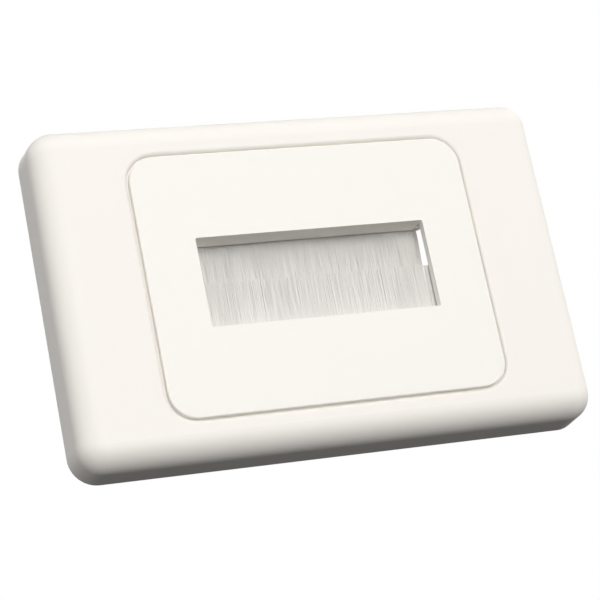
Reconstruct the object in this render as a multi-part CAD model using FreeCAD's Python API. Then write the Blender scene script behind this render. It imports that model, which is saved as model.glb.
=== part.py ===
import FreeCAD, Part
import math
import os

# A clip-on wall plate with a brush cable entry, in millimetres.
# Every piece is drawn lying on its back: x across the plate, y up the plate,
# z out from the wall. stand_up() then turns it upright, so that the wall is
# the plane y = 0, the face looks along -Y and +Z is up.

# surround, the moulded cover that clips over the grid plate
plate_width = 116.0
plate_height = 75.0
surround_height = 11.4
plate_corner_radius = 6.0
side_draft = 0.6
shoulder_radius = 5.2
surround_wall = 1.8
surround_face = 1.9
inner_chamfer = 2.4
window_lip_radius = 0.8
collar_wall = 1.2
collar_depth = 2.6
cover_rib_thickness = 1.0
cover_rib_depth = 1.6
cover_rib_y = 17.0

# barbs of the surround and the notches they lock under
barb_width = 9.0
barb_reach = 1.3
barb_lead = 0.3
barb_x = 32.0
barb_clearance = 0.1
notch_height = 1.6
notch_depth = 1.0
notch_side_clearance = 0.5

# pry notch at the back edge of the upper wall
pry_width = 10.0
pry_height = 1.2

# raised panel of the grid plate, seen through the surround's window
panel_width = 75.6
panel_height = 57.8
panel_corner_radius = 6.0
panel_thickness = 2.0
panel_proud = 0.25
panel_wall = 1.6
panel_edge_radius = 0.35
groove_gap = 0.4

# cable aperture
aperture_side_margin = 11.9
aperture_height = 19.8
aperture_corner_radius = 0.4

# flange of the grid plate and its two screw slots
flange_gap = 0.6
flange_thickness = 2.4
rim_wall = 1.2
rim_height = 2.1
mount_spacing = 84.0
slot_radius = 2.1
slot_length = 6.0
pad_width = 9.0
pad_height = 10.0
pad_corner_radius = 2.5
pad_rise = 0.8
gusset_thickness = 1.2
gusset_run = 4.0
gusset_rise = 3.6
gusset_x = 20.0
gusset_y = 17.0

# strip brushes: folded channel, core wire and bristle pack
strip_overlap = 1.5
channel_depth = 3.2
channel_height = 4.6
channel_wall = 0.5
channel_bend_radius = 0.8
channel_lip_height = 0.7
channel_lip_turn = 0.3
channel_setback = 0.4
wire_radius = 0.45
bristle_clearance = 0.05
bristle_end_inset = 0.15
bristle_mouth_thickness = 1.5
bristle_tip_thickness = 2.6
tip_overlap = 0.2
row_offset = 4.0

# tufts of the bristle pack: spacing, and the waves that make their tips uneven
tuft_pitch = 1.8
tuft_slit = 0.14
long_wave = 2.4
long_wave_reach = 0.12
short_wave = 5.3
short_wave_reach = 0.06
slant_wave = 1.7
slant_reach = 0.08

# seats, stops and bosses for the strips behind the panel
seat_clearance = 0.05
rib_thickness = 1.2
stop_clearance = 0.1
stop_rise = 0.5
stop_relief = 0.5
boss_radius = 2.3
boss_margin = 1.4
pilot_depth = 3.6

# clamp bars and their self-tapping screws
bar_thickness = 1.2
bar_width = 3.4
bar_pad_radius = 2.6
bar_rib_width = 1.0
bar_rib_rise = 0.6
bar_rib_end_gap = 0.4
screw_radius = 0.95
screw_clearance = 0.06
screw_length = 4.4
screw_head_radius = 2.0
screw_head_height = 0.9
screw_crown_chamfer = 0.4

# how far a tool or a joined piece runs past a face
pass_by = 0.5

# sizes worked out from those above
aperture_width = panel_width - 2 * aperture_side_margin
window_width = panel_width + 2 * groove_gap
window_height = panel_height + 2 * groove_gap
window_corner_radius = panel_corner_radius + groove_gap
panel_face = surround_height + panel_proud
panel_back = panel_face - panel_thickness
cover_inside = surround_height - surround_face
flange_width = plate_width - 2 * (surround_wall + flange_gap)
flange_height = plate_height - 2 * (surround_wall + flange_gap)
flange_corner_radius = plate_corner_radius - surround_wall - flange_gap
rim_top = flange_thickness + rim_height
pad_top = flange_thickness + pad_rise
strip_length = aperture_width + 2 * strip_overlap
stop_x = strip_length / 2 + stop_clearance
mouth_y = aperture_height / 2 + channel_setback
channel_base_y = mouth_y + channel_height
ledge_y = channel_base_y + seat_clearance
lower_front = panel_back - seat_clearance
upper_front = lower_front - row_offset
bar_y = channel_base_y - bar_width / 2
boss_x = stop_x + rib_thickness + boss_margin + boss_radius

# each row: side of the aperture (-1 below, 1 above) and front of its channel
ROWS = {"lower": (-1, lower_front), "upper": (1, upper_front)}
SIDES = {"left": -1, "right": 1}


def point(x, y, z=0.0):
    return FreeCAD.Vector(x, y, z)


def line(start, end):
    return Part.LineSegment(start, end).toShape()


def rounded_outline(width, height, radius, z):
    """Closed rounded rectangle about the origin, at height z."""
    inner_x = width / 2 - radius
    inner_y = height / 2 - radius
    edges = []
    for quarter in range(4):
        turn = quarter * math.pi / 2
        sign_x = 1 if quarter in (0, 3) else -1
        sign_y = 1 if quarter in (0, 1) else -1
        centre = point(sign_x * inner_x, sign_y * inner_y, z)
        arc_points = [
            centre + point(radius * math.cos(angle), radius * math.sin(angle))
            for angle in (turn, turn + math.pi / 4, turn + math.pi / 2)
        ]
        if edges:
            edges.append(line(edges[-1].lastVertex().Point, arc_points[0]))
        edges.append(Part.Arc(*arc_points).toShape())
    edges.append(line(edges[-1].lastVertex().Point, edges[0].firstVertex().Point))
    return Part.Wire(edges)


def slab(width, height, radius, z_low, z_high):
    """Rounded rectangular slab about the origin."""
    face = Part.Face(rounded_outline(width, height, radius, z_low))
    return face.extrude(point(0, 0, z_high - z_low))


def tapered_slab(width, height, radius, z_high, inset):
    """Slab from the wall to z_high whose sides lean in by inset."""
    foot = rounded_outline(width, height, radius, 0)
    top = rounded_outline(width - 2 * inset, height - 2 * inset, radius - inset, z_high)
    return Part.makeLoft([foot, top], True)


def ring(width, height, radius, wall, z_low, z_high):
    """Rounded rectangular ring whose wall lies inside the given outline."""
    outer = slab(width, height, radius, z_low, z_high)
    inner = slab(width - 2 * wall, height - 2 * wall, radius - wall, z_low, z_high)
    return outer.cut(inner)


def box(x_span, y_span, z_span):
    """Block between three (low, high) spans, in either order."""
    lows = [min(span) for span in (x_span, y_span, z_span)]
    sizes = [abs(span[1] - span[0]) for span in (x_span, y_span, z_span)]
    return Part.makeBox(*sizes, point(*lows))


def prism_along_x(outline, x_low, x_high):
    """Extrude a closed list of (y, z) points from x_low to x_high."""
    points = [point(x_low, y, z) for y, z in outline]
    face = Part.Face(Part.makePolygon(points + points[:1]))
    return face.extrude(point(x_high - x_low, 0, 0))


def prism_along_y(outline, y_low, y_high):
    """Extrude a closed list of (x, z) points from y_low to y_high."""
    points = [point(x, y_low, z) for x, z in outline]
    face = Part.Face(Part.makePolygon(points + points[:1]))
    return face.extrude(point(0, y_high - y_low, 0))


def flat_edges(shape, z, half_width, half_height):
    """Edges of the shape that lie at height z inside a rectangle."""
    near = 0.01
    found = []
    for edge in shape.Edges:
        bounds = edge.BoundBox
        level = abs(bounds.ZMin - z) < near and abs(bounds.ZMax - z) < near
        inside_x = max(-bounds.XMin, bounds.XMax) < half_width + near
        inside_y = max(-bounds.YMin, bounds.YMax) < half_height + near
        if level and inside_x and inside_y:
            found.append(edge)
    return found


def stand_up(shape):
    """Turn a piece drawn on its back so that it stands against the wall."""
    upright = shape.copy()
    upright.rotate(point(0, 0), point(1, 0), 90)
    return upright


def inner_wall_y(z):
    """Distance from the middle to the surround's long inner wall at height z."""
    return plate_height / 2 - surround_wall - side_draft * z / surround_height


def cover_barb(side, x):
    """Wedge on a long wall that locks under the flange of the grid plate."""
    top = notch_height - barb_clearance
    root = inner_wall_y(top) + pass_by
    tip = inner_wall_y(top) - barb_reach
    outline = [
        (side * root, barb_lead),
        (side * root, top),
        (side * tip, top),
        (side * tip, (barb_lead + top) / 2),
    ]
    return prism_along_x(outline, x - barb_width / 2, x + barb_width / 2)


def cover_rib(side, y):
    """Rib under the surround's face, from the collar to an end wall."""
    inner_end = window_width / 2 + collar_wall - pass_by
    outer_end = plate_width / 2 - surround_wall - side_draft
    return box(
        (side * inner_end, side * outer_end),
        (y - cover_rib_thickness / 2, y + cover_rib_thickness / 2),
        (cover_inside - cover_rib_depth, cover_inside + pass_by),
    )


def surround():
    """Moulded cover: drafted walls, round shoulders and a window with a rolled lip."""
    shell = tapered_slab(
        plate_width, plate_height, plate_corner_radius, surround_height, side_draft
    )
    rim = flat_edges(shell, surround_height, plate_width, plate_height)
    shell = shell.makeFillet(shoulder_radius, rim)
    hollow = tapered_slab(
        plate_width - 2 * surround_wall,
        plate_height - 2 * surround_wall,
        plate_corner_radius - surround_wall,
        cover_inside,
        side_draft * cover_inside / surround_height,
    )
    rim = flat_edges(hollow, cover_inside, plate_width, plate_height)
    hollow = hollow.makeChamfer(inner_chamfer, rim)
    shell = shell.cut(hollow)
    details = [
        ring(
            window_width + 2 * collar_wall,
            window_height + 2 * collar_wall,
            window_corner_radius + collar_wall,
            collar_wall,
            cover_inside - collar_depth,
            cover_inside + pass_by,
        )
    ]
    for side in SIDES.values():
        details += [cover_rib(side, y) for y in (-cover_rib_y, cover_rib_y)]
        details += [cover_barb(side, x) for x in (-barb_x, barb_x)]
    shell = shell.multiFuse(details).removeSplitter()
    window = slab(
        window_width, window_height, window_corner_radius, 0, surround_height + pass_by
    )
    shell = shell.cut(window)
    lip = flat_edges(shell, surround_height, window_width / 2, window_height / 2)
    shell = shell.makeFillet(window_lip_radius, lip)
    pry = box(
        (-pry_width / 2, pry_width / 2),
        (inner_wall_y(0) - pass_by, plate_height / 2 + pass_by),
        (0, pry_height),
    )
    return shell.cut(pry)


def raised_panel():
    """Box whose front is the panel, open at the back and at the aperture."""
    block = slab(panel_width, panel_height, panel_corner_radius, 0, panel_face)
    rim = flat_edges(block, panel_face, panel_width, panel_height)
    block = block.makeFillet(panel_edge_radius, rim)
    hollow = slab(
        panel_width - 2 * panel_wall,
        panel_height - 2 * panel_wall,
        panel_corner_radius - panel_wall,
        0,
        panel_back,
    )
    return block.cut(hollow)


def flange():
    """Flat flange against the wall, with an upstanding rim round its edge."""
    plate = slab(flange_width, flange_height, flange_corner_radius, 0, flange_thickness)
    opening = slab(
        panel_width - 2 * panel_wall,
        panel_height - 2 * panel_wall,
        panel_corner_radius - panel_wall,
        0,
        flange_thickness,
    )
    rim = ring(
        flange_width,
        flange_height,
        flange_corner_radius,
        rim_wall,
        flange_thickness,
        rim_top,
    )
    return plate.cut(opening).fuse(rim)


def screw_pad(side):
    """Thick pad round a mounting slot."""
    pad = slab(pad_width, pad_height, pad_corner_radius, 0, pad_top)
    return pad.translated(point(side * mount_spacing / 2, 0))


def screw_slot(side):
    """Cutter of a mounting slot, which runs across the plate."""
    half_run = slot_length / 2 - slot_radius
    depth = pad_top + 2 * pass_by
    centre = side * mount_spacing / 2
    ends = [
        Part.makeCylinder(slot_radius, depth, point(centre + shift, 0, -pass_by))
        for shift in (-half_run, half_run)
    ]
    middle = box(
        (centre - half_run, centre + half_run),
        (-slot_radius, slot_radius),
        (-pass_by, pad_top + pass_by),
    )
    return middle.multiFuse(ends).removeSplitter()


def side_gusset(side, y):
    """Web between an end of the raised panel and the flange."""
    root = panel_width / 2 - pass_by
    outline = [
        (side * root, flange_thickness),
        (side * (panel_width / 2 + gusset_run), flange_thickness),
        (side * panel_width / 2, flange_thickness + gusset_rise),
        (side * root, flange_thickness + gusset_rise),
    ]
    return prism_along_y(outline, y - gusset_thickness / 2, y + gusset_thickness / 2)


def long_gusset(side, x):
    """Web between a long side of the raised panel and the flange."""
    root = panel_height / 2 - pass_by
    outline = [
        (side * root, flange_thickness),
        (side * (panel_height / 2 + gusset_run), flange_thickness),
        (side * panel_height / 2, flange_thickness + gusset_rise),
        (side * root, flange_thickness + gusset_rise),
    ]
    return prism_along_x(outline, x - gusset_thickness / 2, x + gusset_thickness / 2)


def catch_notch(side, x):
    """Room under the flange's edge for a barb."""
    half_width = barb_width / 2 + notch_side_clearance
    edge = flange_height / 2
    return box(
        (x - half_width, x + half_width),
        (side * (edge - notch_depth), side * (edge + pass_by)),
        (-pass_by, notch_height),
    )


def ledge_rib(side, front):
    """Rib along the closed edge of a strip's channel."""
    return box(
        (-stop_x - rib_thickness, stop_x + rib_thickness),
        (side * ledge_y, side * (ledge_y + rib_thickness)),
        (front - channel_depth, panel_back + pass_by),
    )


def end_stop(row, end):
    """Rib across an end of a strip: the lower ones flank the aperture, and the
    upper ones start a little above the channel's mouth, clear of it."""
    side, front = ROWS[row]
    reach = tip_overlap + stop_rise if row == "lower" else mouth_y + stop_relief
    return box(
        (end * stop_x, end * (stop_x + rib_thickness)),
        (reach, side * (ledge_y + rib_thickness)),
        (front - channel_depth, panel_back + pass_by),
    )


def sight_ribs():
    """Two ribs that space the upper channel off the panel: one as wide as the
    aperture along its edge, the other between the end stops."""
    depth = (upper_front + seat_clearance, panel_back + pass_by)
    near = aperture_height / 2
    half_near = aperture_width / 2
    half_far = stop_x + rib_thickness
    return [
        box((-half_near, half_near), (near, near + rib_thickness), depth),
        box((-half_far, half_far), (channel_base_y - rib_thickness, channel_base_y), depth),
    ]


def clamp_face(front):
    """Height at which a clamp bar's front face lies."""
    return front - channel_depth - seat_clearance


def screw_boss(side, front, end):
    """Round boss behind the panel for a clamp screw."""
    foot = clamp_face(front)
    centre = point(end * boss_x, side * bar_y, foot)
    return Part.makeCylinder(boss_radius, panel_back + pass_by - foot, centre)


def pilot_hole(side, front, end):
    """Cutter of the blind hole in a screw boss."""
    foot = clamp_face(front)
    centre = point(end * boss_x, side * bar_y, foot - pass_by)
    return Part.makeCylinder(
        screw_radius + screw_clearance, pilot_depth + pass_by, centre
    )


def grid_plate():
    """Base screwed to the wall: flange, raised panel, aperture and brush seats."""
    pieces = [flange()]
    cutters = []
    for side in SIDES.values():
        pieces.append(screw_pad(side))
        cutters.append(screw_slot(side))
        pieces += [side_gusset(side, y) for y in (-gusset_y, gusset_y)]
        pieces += [long_gusset(side, x) for x in (-gusset_x, gusset_x)]
        cutters += [catch_notch(side, x) for x in (-barb_x, barb_x)]
    for row, (side, front) in ROWS.items():
        pieces.append(ledge_rib(side, front))
        for end in SIDES.values():
            pieces.append(end_stop(row, end))
            pieces.append(screw_boss(side, front, end))
            cutters.append(pilot_hole(side, front, end))
    body = raised_panel().multiFuse(pieces + sight_ribs())
    cutters.append(
        slab(
            aperture_width,
            aperture_height,
            aperture_corner_radius,
            0,
            panel_face + pass_by,
        )
    )
    return body.cut(Part.makeCompound(cutters)).removeSplitter()


def channel():
    """Folded channel with turned-in lips, opening towards +y from the origin."""
    half = channel_depth / 2
    inside = half - channel_wall
    lip = half - channel_lip_turn
    shoulder_y = channel_height - channel_lip_height
    outer = [
        (0, -half),
        (0, half),
        (shoulder_y, half),
        (channel_height, lip),
        (channel_height, -lip),
        (shoulder_y, -half),
    ]
    inner = [
        (channel_wall, -inside),
        (channel_wall, inside),
        (shoulder_y, inside),
        (channel_height, inside - channel_lip_turn),
        (channel_height + pass_by, inside - channel_lip_turn),
        (channel_height + pass_by, channel_lip_turn - inside),
        (channel_height, channel_lip_turn - inside),
        (shoulder_y, -inside),
    ]
    body = prism_along_x(outer, -strip_length / 2, strip_length / 2)
    bends = [edge for edge in body.Edges if is_bend(edge, 0)]
    body = body.makeFillet(channel_bend_radius, bends)
    hollow = prism_along_x(inner, -strip_length / 2, strip_length / 2)
    bends = [edge for edge in hollow.Edges if is_bend(edge, channel_wall)]
    hollow = hollow.makeFillet(channel_bend_radius - channel_wall, bends)
    return body.cut(hollow)


def is_bend(edge, y):
    """Whether an edge runs along the channel at the given y."""
    bounds = edge.BoundBox
    near = 0.01
    return bounds.XLength > near and abs(bounds.YMin - y) < near > bounds.YLength


def core_wire():
    """Wire in the channel's base, round which the bristles are folded."""
    start = point(-strip_length / 2 + bristle_end_inset, channel_depth / 2, 0)
    length = strip_length - 2 * bristle_end_inset
    return Part.makeCylinder(wire_radius, length, start, point(1, 0, 0))


def bristle_root(length):
    """Folded part of the bristle pack, inside the channel."""
    centre_y = channel_depth / 2
    fold_radius = channel_depth / 2 - channel_wall - bristle_clearance
    half_mouth = bristle_mouth_thickness / 2
    start = point(-length / 2, centre_y, 0)
    fold = Part.makeCylinder(fold_radius, length, start, point(1, 0, 0))
    neck = [
        (centre_y, -fold_radius),
        (centre_y, fold_radius),
        (channel_height - channel_lip_height, fold_radius),
        (channel_height, half_mouth),
        (channel_height, -half_mouth),
        (channel_height - channel_lip_height, -fold_radius),
    ]
    root = fold.fuse(prism_along_x(neck, -length / 2, length / 2))
    bore_radius = wire_radius + bristle_clearance
    bore = Part.makeCylinder(bore_radius, length, start, point(1, 0, 0))
    return root.cut(bore).removeSplitter()


def tuft(index, count):
    """One tuft of bristles, flaring from the channel's mouth to a slanted tip."""
    uneven = long_wave_reach * math.sin(long_wave * index)
    uneven += short_wave_reach * math.sin(short_wave * index)
    slant = slant_reach * math.sin(slant_wave * index)
    tip_y = channel_height + mouth_y + tip_overlap + uneven
    half_mouth = bristle_mouth_thickness / 2
    half_tip = bristle_tip_thickness / 2
    low_x = (index - count / 2) * tuft_pitch + tuft_slit / 2
    high_x = low_x + tuft_pitch - tuft_slit
    outline = [
        (channel_height - pass_by, -half_mouth),
        (channel_height - pass_by, half_mouth),
        (channel_height, half_mouth),
        (tip_y + slant, half_tip),
        (tip_y - slant, -half_tip),
        (channel_height, -half_mouth),
    ]
    return prism_along_x(outline, low_x, high_x)


def bristles():
    """Bristle pack of one strip: a folded root and a comb of tufts."""
    length = strip_length - 2 * bristle_end_inset
    count = int(length / tuft_pitch)
    tufts = [tuft(index, count) for index in range(count)]
    return bristle_root(length).multiFuse(tufts).removeSplitter()


def place_strip(piece, row):
    """Put a strip's piece, drawn from its channel's base, behind the panel."""
    side, front = ROWS[row]
    placed = piece.copy()
    if side > 0:
        placed.rotate(point(0, 0), point(1, 0), 180)
    placed.translate(point(0, side * channel_base_y, front - channel_depth / 2))
    return placed


def clamp_bar():
    """Bar that holds a strip from behind, drawn with its front face at z = 0."""
    half_run = boss_x
    bar = box((-half_run, half_run), (-bar_width / 2, bar_width / 2), (-bar_thickness, 0))
    ends = [
        Part.makeCylinder(bar_pad_radius, bar_thickness, point(x, 0, -bar_thickness))
        for x in (-half_run, half_run)
    ]
    rib_end = half_run - bar_pad_radius - bar_rib_end_gap
    rib = box(
        (-rib_end, rib_end),
        (-bar_rib_width / 2, bar_rib_width / 2),
        (-bar_thickness - bar_rib_rise, -bar_thickness),
    )
    bar = bar.multiFuse(ends + [rib]).removeSplitter()
    hole_radius = screw_radius + screw_clearance
    holes = [
        Part.makeCylinder(hole_radius, bar_thickness, point(x, 0, -bar_thickness))
        for x in (-half_run, half_run)
    ]
    return bar.cut(Part.makeCompound(holes))


def clamp_screw():
    """Pan-head self-tapping screw, drawn with its head's seat at z = 0."""
    shank = Part.makeCylinder(screw_radius, screw_length)
    head = Part.makeCylinder(
        screw_head_radius, screw_head_height, point(0, 0, -screw_head_height)
    )
    crown = [edge for edge in head.Edges if edge.BoundBox.ZMax < 0]
    head = head.makeChamfer(screw_crown_chamfer, crown)
    return shank.fuse(head)


def brush_pieces():
    """The strips, their clamp bars and screws, by node name."""
    found = {}
    for row, (side, front) in ROWS.items():
        found[row + "_channel"] = place_strip(channel(), row)
        found[row + "_core_wire"] = place_strip(core_wire(), row)
        found[row + "_bristles"] = place_strip(bristles(), row)
        clamp_z = clamp_face(front)
        bar = clamp_bar().translated(point(0, side * bar_y, clamp_z))
        found[row + "_clamp_bar"] = bar
        for name, end in SIDES.items():
            seat = point(end * boss_x, side * bar_y, clamp_z - bar_thickness)
            found[row + "_" + name + "_screw"] = clamp_screw().translated(seat)
    return found


def main():
    pieces = {"surround": surround(), "grid_plate": grid_plate()}
    pieces.update(brush_pieces())
    os.makedirs("parts", exist_ok=True)
    for name, shape in pieces.items():
        stand_up(shape).exportStep("parts/" + name + ".step")


main()
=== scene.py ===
import math
import random

import bmesh
import bpy
from mathutils import Matrix, Vector


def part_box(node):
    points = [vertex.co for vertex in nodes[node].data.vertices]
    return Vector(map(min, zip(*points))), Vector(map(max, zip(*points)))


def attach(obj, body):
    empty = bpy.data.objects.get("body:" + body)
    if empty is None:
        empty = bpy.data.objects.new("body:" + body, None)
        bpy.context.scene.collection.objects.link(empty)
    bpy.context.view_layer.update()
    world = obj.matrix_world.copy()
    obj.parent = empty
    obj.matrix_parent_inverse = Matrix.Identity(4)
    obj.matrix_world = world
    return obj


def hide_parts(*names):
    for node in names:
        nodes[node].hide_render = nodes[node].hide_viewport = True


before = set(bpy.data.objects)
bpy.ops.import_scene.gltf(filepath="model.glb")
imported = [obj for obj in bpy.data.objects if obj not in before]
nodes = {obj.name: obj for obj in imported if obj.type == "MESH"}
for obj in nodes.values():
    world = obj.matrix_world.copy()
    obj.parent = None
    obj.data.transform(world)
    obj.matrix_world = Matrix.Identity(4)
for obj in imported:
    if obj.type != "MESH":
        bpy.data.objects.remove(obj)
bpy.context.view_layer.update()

MM = 0.001

# the photograph's camera, fitted to the plate's edges; the picture is square
PICTURE_SIDE = 600
FOCAL_PIXELS = 2102.7
SENSOR_WIDTH = 36.0
CAMERA_PLACE = (-0.15791, -0.40625, -0.13341)
CAMERA_RIGHT = (0.93479, -0.29812, -0.19310)
CAMERA_UP = (0.08636, -0.33658, 0.93769)
CAMERA_BACK = (-0.34453, -0.89322, -0.28889)
CLIP_START = 0.01
CLIP_END = 20.0

# filament packs of the two strip brushes, in millimetres
FILAMENT_SIDES = 4
FILAMENT_RADIUS = 0.08
FILAMENT_SPACING = 0.15
FILAMENT_LAYERS = 12
FILAMENT_STEPS = 3
FILAMENT_TRANSLUCENCY = 0.2
BRUSH_SEEDS = {"lower": 11, "upper": 23}

# where a pack starts and stops inside the box of the solid it replaces
ROOT_DEPTH = 1.0
ROOT_SPREAD = 1.4
TIP_SPREAD_MARGIN = 0.3
END_MARGIN = 0.12
BOX_MARGIN = 0.1

# how much one filament differs from the next
SPACING_JITTER = 0.03
LEAN_X = 0.06
LEAN_Y = 0.05
TIP_SHORTFALL = 0.12
BOW = 0.03
TURN_SPREAD = 0.25

# the upper brush's filaments close together towards its right end
END_REACH = 1.8
END_LEAN = 0.6

# floor of the groove round the panel, in millimetres
PANEL_WIDTH = 75.6
PANEL_HEIGHT = 57.8
PANEL_CORNER_RADIUS = 6.0
GROOVE_GAP = 0.4
GROOVE_DEPTH = 1.1
GROOVE_FLOOR_THICKNESS = 0.5
GROOVE_OVERLAP = 0.02
CORNER_STEPS = 12
CORNER_SIGNS = ((1, 1), (-1, 1), (-1, -1), (1, -1))

# stage, in metres
FLOOR_HEIGHT = -0.6
FLOOR_HALF_SIDE = 2.0
FLOOR_TONE = (0.1, 0.1, 0.1)
SKY_LOW = 0.02
SKY_HIGH = 0.12
MIRROR_START = -0.25
MIRROR_END = 0.05

# lamps: place in metres, side in metres, power in watts
LAMPS = {
    "key": ((0.1, -1.0, 0.75), 0.9, 5.2),
    "front": ((-0.05, -1.2, 0.05), 0.6, 8.4),
    "top": ((0.0, -0.35, 1.1), 0.7, 1.4),
    "right": ((1.1, -0.2, 0.1), 0.6, 4.5),
    "left": ((-1.07, -0.42, 0.1), 0.6, 3.0),
    "back": ((0.0, 1.0, 0.3), 0.6, 9.0),
}


# shader nodes


def new_material(name):
    material = bpy.data.materials.new(name)
    material.use_nodes = True
    tree = material.node_tree
    return material, tree, tree.nodes["Principled BSDF"]


def add_node(tree, kind, **values):
    node = tree.nodes.new(kind)
    for key, value in values.items():
        if key in node.inputs:
            node.inputs[key].default_value = value
        else:
            setattr(node, key, value)
    return node


def noise(tree, place, scale, detail):
    node = add_node(tree, "ShaderNodeTexNoise", Scale=scale, Detail=detail)
    tree.links.new(place, node.inputs["Vector"])
    return node.outputs["Fac"]


def map_range(tree, value, span, result):
    """Socket that runs over the result's two ends as the value runs over the span."""
    node = add_node(tree, "ShaderNodeMapRange")
    for key, end in zip(("From Min", "From Max", "To Min", "To Max"), span + result):
        node.inputs[key].default_value = end
    tree.links.new(value, node.inputs["Value"])
    return node.outputs["Result"]


def color_ramp(tree, value, colors, ends=(0.0, 1.0)):
    node = add_node(tree, "ShaderNodeValToRGB")
    for element, position, color in zip(node.color_ramp.elements, ends, colors):
        element.position = position
        element.color = tuple(color) + (1.0,)
    tree.links.new(value, node.inputs["Fac"])
    return node.outputs["Color"]


def darker(color, share):
    return tuple(channel * share for channel in color)


def object_place(tree):
    return add_node(tree, "ShaderNodeTexCoord").outputs["Object"]


def stretched_place(tree, stretch):
    mapping = add_node(tree, "ShaderNodeMapping", Scale=stretch)
    tree.links.new(object_place(tree), mapping.inputs["Vector"])
    return mapping.outputs["Vector"]


# materials


def let_light_through(tree, shader, color, share):
    """Mix a diffuse glow from the light on the far side into the surface."""
    through = add_node(tree, "ShaderNodeBsdfTranslucent")
    tree.links.new(color, through.inputs["Color"])
    mix = add_node(tree, "ShaderNodeMixShader", Fac=share)
    tree.links.new(shader.outputs["BSDF"], mix.inputs[1])
    tree.links.new(through.outputs["BSDF"], mix.inputs[2])
    output = tree.nodes["Material Output"]
    tree.links.new(mix.outputs["Shader"], output.inputs["Surface"])


def moulded_plastic(name, color, roughness):
    """Moulded plastic: a faint tone drift, a fine surface grain and soft gloss."""
    material, tree, shader = new_material(name)
    place = object_place(tree)
    drift = noise(tree, place, 14.0, 2.0)
    tone = color_ramp(tree, drift, (darker(color, 0.992), color), (0.3, 0.7))
    tree.links.new(tone, shader.inputs["Base Color"])
    grain = noise(tree, place, 2600.0, 3.0)
    bump = add_node(tree, "ShaderNodeBump", Strength=0.04, Distance=0.00004)
    tree.links.new(grain, bump.inputs["Height"])
    tree.links.new(bump.outputs["Normal"], shader.inputs["Normal"])
    gloss = map_range(tree, grain, (0.0, 1.0), (roughness - 0.03, roughness + 0.03))
    tree.links.new(gloss, shader.inputs["Roughness"])
    shader.inputs["Specular IOR Level"].default_value = 0.3
    return material


def drawn_metal(name, color, roughness, stretch):
    """Rolled or drawn metal with streaks along its length."""
    material, tree, shader = new_material(name)
    streaks = noise(tree, stretched_place(tree, stretch), 900.0, 4.0)
    tone = color_ramp(tree, streaks, (darker(color, 0.85), color))
    tree.links.new(tone, shader.inputs["Base Color"])
    gloss = map_range(tree, streaks, (0.0, 1.0), (roughness - 0.08, roughness + 0.08))
    tree.links.new(gloss, shader.inputs["Roughness"])
    shader.inputs["Metallic"].default_value = 1.0
    return material


def filament_material():
    """White nylon filaments whose tone changes a little from one to the next."""
    material, tree, shader = new_material("nylon_filament")
    changes = noise(tree, stretched_place(tree, (1.0, 1.0, 0.02)), 2200.0, 2.0)
    colors = ((0.975, 0.957, 0.925), (0.99, 0.975, 0.945))
    tone = color_ramp(tree, changes, colors, (0.35, 0.65))
    tree.links.new(tone, shader.inputs["Base Color"])
    shader.inputs["Roughness"].default_value = 0.45
    shader.inputs["Specular IOR Level"].default_value = 0.6
    let_light_through(tree, shader, tone, FILAMENT_TRANSLUCENCY)
    return material


def dress(name, material):
    target = nodes[name]
    target.data.materials.clear()
    target.data.materials.append(material)


def add_object(name, mesh, material):
    """Object in the scene, from a finished mesh that is freed here."""
    data = bpy.data.meshes.new(name)
    mesh.to_mesh(data)
    mesh.free()
    data.materials.append(material)
    added = bpy.data.objects.new(name, data)
    bpy.context.scene.collection.objects.link(added)
    return added


# filaments


def add_filament(mesh, path, turn):
    """One filament as a thin prism along its path, closed at both ends."""
    rings = []
    for place in path:
        ring = []
        for side in range(FILAMENT_SIDES):
            angle = turn + 2 * math.pi * side / FILAMENT_SIDES
            across = FILAMENT_RADIUS * math.cos(angle)
            deep = FILAMENT_RADIUS * math.sin(angle)
            ring.append(mesh.verts.new((place + Vector((across, deep, 0))) * MM))
        rings.append(ring)
    for low, high in zip(rings, rings[1:]):
        for side in range(FILAMENT_SIDES):
            after = (side + 1) % FILAMENT_SIDES
            mesh.faces.new((low[side], low[after], high[after], high[side]))
    mesh.faces.new(list(reversed(rings[0])))
    mesh.faces.new(rings[-1])


def filament_path(root, tip, bow):
    """Places from root to tip, leaving the root straight and bowed between."""
    path = []
    for step in range(FILAMENT_STEPS + 1):
        t = step / FILAMENT_STEPS
        ease = t * t * (3 - 2 * t)
        place = Vector(
            (
                root.x + (tip.x - root.x) * ease,
                root.y + (tip.y - root.y) * t,
                root.z + (tip.z - root.z) * t,
            )
        )
        path.append(place + bow * math.sin(math.pi * t))
    return path


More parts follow.
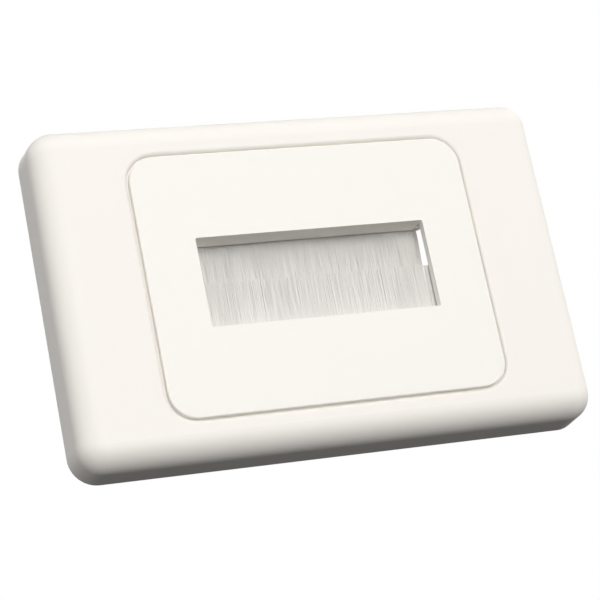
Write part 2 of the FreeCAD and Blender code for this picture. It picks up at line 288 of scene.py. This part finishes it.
def brush(node, seed, material):
    """Filaments that fan from the channel's mouth, in the place of a CAD pack."""
    low, high = (Vector(corner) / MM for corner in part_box(node))
    channel_low, channel_high = (
        Vector(corner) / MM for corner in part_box(node.replace("bristles", "channel"))
    )
    upper = low.z + high.z > 0
    way = -1 if upper else 1
    root_z = channel_low.z if upper else channel_high.z
    tip_z = low.z if upper else high.z
    middle_y = (low.y + high.y) / 2
    depth = high.y - low.y
    picks = random.Random(seed)
    mesh = bmesh.new()
    count = int((high.x - low.x) / FILAMENT_SPACING)
    for layer in range(FILAMENT_LAYERS):
        share = (layer + 0.5) / FILAMENT_LAYERS - 0.5
        root_y = middle_y + share * ROOT_SPREAD
        for index in range(count):
            shift = (index + 0.5 + 0.5 * (layer % 2)) / count
            run = high.x - low.x - 2 * END_MARGIN
            x = low.x + END_MARGIN + run * min(shift, 1.0)
            x += picks.uniform(-SPACING_JITTER, SPACING_JITTER)
            lean_x = picks.gauss(0.0, LEAN_X)
            lean_y = picks.gauss(0.0, LEAN_Y)
            short = abs(picks.gauss(0.0, TIP_SHORTFALL))
            if upper:
                lean_x -= END_LEAN * max(0.0, 1 - (high.x - x) / END_REACH)
            tip_x = min(max(x + lean_x, low.x + BOX_MARGIN), high.x - BOX_MARGIN)
            tip_y = middle_y + share * (depth - TIP_SPREAD_MARGIN) + lean_y
            tip_y = min(max(tip_y, low.y + BOX_MARGIN), high.y - BOX_MARGIN)
            root = Vector((x, root_y, root_z - way * ROOT_DEPTH))
            tip = Vector((tip_x, tip_y, tip_z - way * short))
            bow = Vector((picks.gauss(0.0, BOW), picks.gauss(0.0, BOW), 0.0))
            path = filament_path(root, tip, bow)
            if upper:
                path.reverse()
            turn = math.pi / 4 + picks.gauss(0.0, TURN_SPREAD)
            add_filament(mesh, path, turn)
    piece = add_object(node + "_filaments", mesh, material)
    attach(piece, "root")
    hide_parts(node)


# groove floor


def panel_outline(offset, y):
    """Points of the panel's rounded outline, moved outwards by the offset."""
    radius = PANEL_CORNER_RADIUS + offset
    corner_x = PANEL_WIDTH / 2 - PANEL_CORNER_RADIUS
    corner_z = PANEL_HEIGHT / 2 - PANEL_CORNER_RADIUS
    points = []
    for quarter, (sign_x, sign_z) in enumerate(CORNER_SIGNS):
        for step in range(CORNER_STEPS + 1):
            angle = math.pi / 2 * (quarter + step / CORNER_STEPS)
            x = sign_x * corner_x + radius * math.cos(angle)
            z = sign_z * corner_z + radius * math.sin(angle)
            points.append(Vector((x, y, z)) * MM)
    return points


def groove_floor(material):
    """The ledge that closes the groove between the panel and the cover's window."""
    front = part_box("surround")[0][1] / MM + GROOVE_DEPTH
    back = front + GROOVE_FLOOR_THICKNESS
    inner, outer = -GROOVE_OVERLAP, GROOVE_GAP + GROOVE_OVERLAP
    mesh = bmesh.new()
    rings = [
        [mesh.verts.new(point) for point in panel_outline(offset, y)]
        for offset, y in ((inner, front), (outer, front), (outer, back), (inner, back))
    ]
    count = len(rings[0])
    for ring, following in zip(rings, rings[1:] + rings[:1]):
        for index in range(count):
            after = (index + 1) % count
            corners = (ring[index], ring[after], following[after], following[index])
            mesh.faces.new(corners)
    bmesh.ops.recalc_face_normals(mesh, faces=mesh.faces)
    piece = add_object("groove_floor", mesh, material)
    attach(piece, "root")


# pieces

cover = moulded_plastic("cover_plastic", (0.92, 0.884, 0.83), 0.42)
base = moulded_plastic("base_plastic", (0.93, 0.9, 0.85), 0.42)
bar = moulded_plastic("bar_plastic", (0.82, 0.80, 0.77), 0.5)
steel = drawn_metal("galvanised_strip", (0.66, 0.66, 0.67), 0.38, (0.05, 1.0, 1.0))
wire = drawn_metal("drawn_wire", (0.6, 0.6, 0.61), 0.3, (0.05, 1.0, 1.0))
zinc = drawn_metal("zinc_screw", (0.72, 0.72, 0.73), 0.3, (1.0, 1.0, 1.0))
nylon = filament_material()

dress("surround", cover)
dress("grid_plate", base)
groove_floor(base)
for row, seed in BRUSH_SEEDS.items():
    dress(row + "_channel", steel)
    dress(row + "_core_wire", wire)
    dress(row + "_clamp_bar", bar)
    dress(row + "_left_screw", zinc)
    dress(row + "_right_screw", zinc)
    brush(row + "_bristles", seed, nylon)


# camera


def add_camera():
    data = bpy.data.cameras.new("camera")
    data.sensor_width = SENSOR_WIDTH
    data.lens = FOCAL_PIXELS / PICTURE_SIDE * SENSOR_WIDTH
    data.clip_start = CLIP_START
    data.clip_end = CLIP_END
    camera = bpy.data.objects.new("camera", data)
    columns = (CAMERA_RIGHT, CAMERA_UP, CAMERA_BACK)
    turn = Matrix([[column[row] for column in columns] for row in range(3)])
    camera.matrix_world = Matrix.Translation(CAMERA_PLACE) @ turn.to_4x4()
    bpy.context.scene.collection.objects.link(camera)
    bpy.context.scene.camera = camera


# stage


def ray_is(tree, *kinds):
    """Socket that is 1 for rays of any of the named kinds."""
    path = add_node(tree, "ShaderNodeLightPath")
    found = path.outputs[kinds[0]]
    for kind in kinds[1:]:
        either = add_node(tree, "ShaderNodeMath", operation="MAXIMUM")
        tree.links.new(found, either.inputs[0])
        tree.links.new(path.outputs[kind], either.inputs[1])
        found = either.outputs[0]
    return found


def choose(tree, factor, otherwise, chosen=None):
    """Socket with the chosen level, or 1 if none is given, where the factor is 1."""
    level = add_node(tree, "ShaderNodeMix", data_type="FLOAT")
    level.inputs["B"].default_value = 1.0
    tree.links.new(factor, level.inputs["Factor"])
    tree.links.new(otherwise, level.inputs["A"])
    if chosen is not None:
        tree.links.new(chosen, level.inputs["B"])
    return level.outputs["Result"]


def pale_stage(name, color):
    """Stage surface that is white to the camera alone and dark to all other rays."""
    material, tree, shader = new_material(name)
    tree.nodes.remove(shader)
    diffuse = add_node(tree, "ShaderNodeBsdfDiffuse", Color=tuple(color) + (1.0,))
    glow = add_node(tree, "ShaderNodeEmission")
    mix = add_node(tree, "ShaderNodeMixShader")
    tree.links.new(ray_is(tree, "Is Camera Ray"), mix.inputs["Fac"])
    tree.links.new(diffuse.outputs["BSDF"], mix.inputs[1])
    tree.links.new(glow.outputs["Emission"], mix.inputs[2])
    output = tree.nodes["Material Output"]
    tree.links.new(mix.outputs["Shader"], output.inputs["Surface"])
    return material


def add_floor():
    mesh = bmesh.new()
    bmesh.ops.create_grid(mesh, x_segments=1, y_segments=1, size=FLOOR_HALF_SIDE)
    floor = add_object("floor", mesh, pale_stage("floor", FLOOR_TONE))
    floor.location = (0.0, 0.0, FLOOR_HEIGHT)


def add_world():
    """White to the camera, white above and dark below in reflections, dim otherwise."""
    world = bpy.data.worlds.new("world")
    bpy.context.scene.world = world
    world.use_nodes = True
    tree = world.node_tree
    coords = add_node(tree, "ShaderNodeTexCoord")
    split = add_node(tree, "ShaderNodeSeparateXYZ")
    tree.links.new(coords.outputs["Generated"], split.inputs["Vector"])
    rise = split.outputs["Z"]
    sky = map_range(tree, rise, (-1.0, 1.0), (SKY_LOW, SKY_HIGH))
    mirrored = map_range(tree, rise, (MIRROR_START, MIRROR_END), (SKY_LOW, 1.0))
    mirror_rays = ray_is(tree, "Is Glossy Ray", "Is Transmission Ray")
    lit = choose(tree, mirror_rays, sky, mirrored)
    shown = choose(tree, ray_is(tree, "Is Camera Ray"), lit)
    background = tree.nodes["Background"]
    background.inputs["Color"].default_value = (1.0, 1.0, 1.0, 1.0)
    tree.links.new(shown, background.inputs["Strength"])


def add_lamp(name, place, size, power):
    data = bpy.data.lights.new(name, "AREA")
    data.shape = "SQUARE"
    data.size = size
    data.energy = power
    lamp = bpy.data.objects.new(name, data)
    lamp.location = place
    aim = -Vector(place)
    lamp.rotation_euler = aim.to_track_quat("-Z", "Y").to_euler()
    lamp.visible_camera = False
    lamp.visible_glossy = False
    bpy.context.scene.collection.objects.link(lamp)


add_camera()
add_floor()
add_world()
for name, (place, size, power) in LAMPS.items():
    add_lamp(name, place, size, power)

bpy.context.scene.view_settings.view_transform = "Standard"
